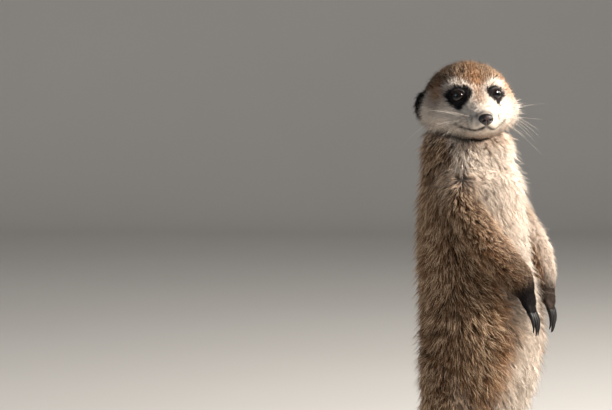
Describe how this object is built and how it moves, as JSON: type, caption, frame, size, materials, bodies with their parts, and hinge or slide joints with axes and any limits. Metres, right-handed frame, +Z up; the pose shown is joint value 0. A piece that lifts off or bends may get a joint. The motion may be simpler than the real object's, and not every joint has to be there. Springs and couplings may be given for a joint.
{
  "type": "meerkat",
  "caption": "Life-size still meerkat standing upright on its hind feet, head turned, forepaws hanging over the belly and tail resting behind on the floor.",
  "frame": {"origin": "middle of the whole figure's footprint box, on the floor that the feet and the tail rest on", "axes": "+Z up through the standing body; -Y the way the chest and toes face; +X the animal's left side"},
  "size_m": [0.0778, 0.2429, 0.3154],
  "materials": {
    "coat": "grizzled brown fur with dark roots and pale tips, dark bands over the lower back",
    "pale_coat": "short cream and fawn fur",
    "dark_coat": "short near-black fur",
    "claw": "black horn with a low polish",
    "eye": "wet dark brown eye",
    "nose_skin": "moist black skin"
  },
  "bodies": {
    "root": {"claw_foot_left_1": "claw", "claw_foot_left_2": "claw", "claw_foot_left_3": "claw", "claw_foot_left_4": "claw", "claw_foot_right_1": "claw", "claw_foot_right_2": "claw", "claw_foot_right_3": "claw", "claw_foot_right_4": "claw", "claw_hand_left_1": "claw", "claw_hand_left_2": "claw", "claw_hand_left_3": "claw", "claw_hand_left_4": "claw", "claw_hand_right_1": "claw", "claw_hand_right_2": "claw", "claw_hand_right_3": "claw", "claw_hand_right_4": "claw", "ear_left": "dark_coat", "ear_right": "dark_coat", "eye_left": "eye", "eye_right": "eye", "foot_left": "coat", "foot_right": "coat", "forearm_left": "coat", "forearm_right": "coat", "hand_left": "coat", "hand_right": "coat", "head": "pale_coat", "neck": "pale_coat", "nose": "nose_skin", "shank_left": "coat", "shank_right": "coat", "tail_base": "coat", "tail_middle": "coat", "tail_tip": "dark_coat", "thigh_left": "coat", "thigh_right": "coat", "trunk": "coat", "upper_arm_left": "coat", "upper_arm_right": "coat"}
  },
  "joints": []
}
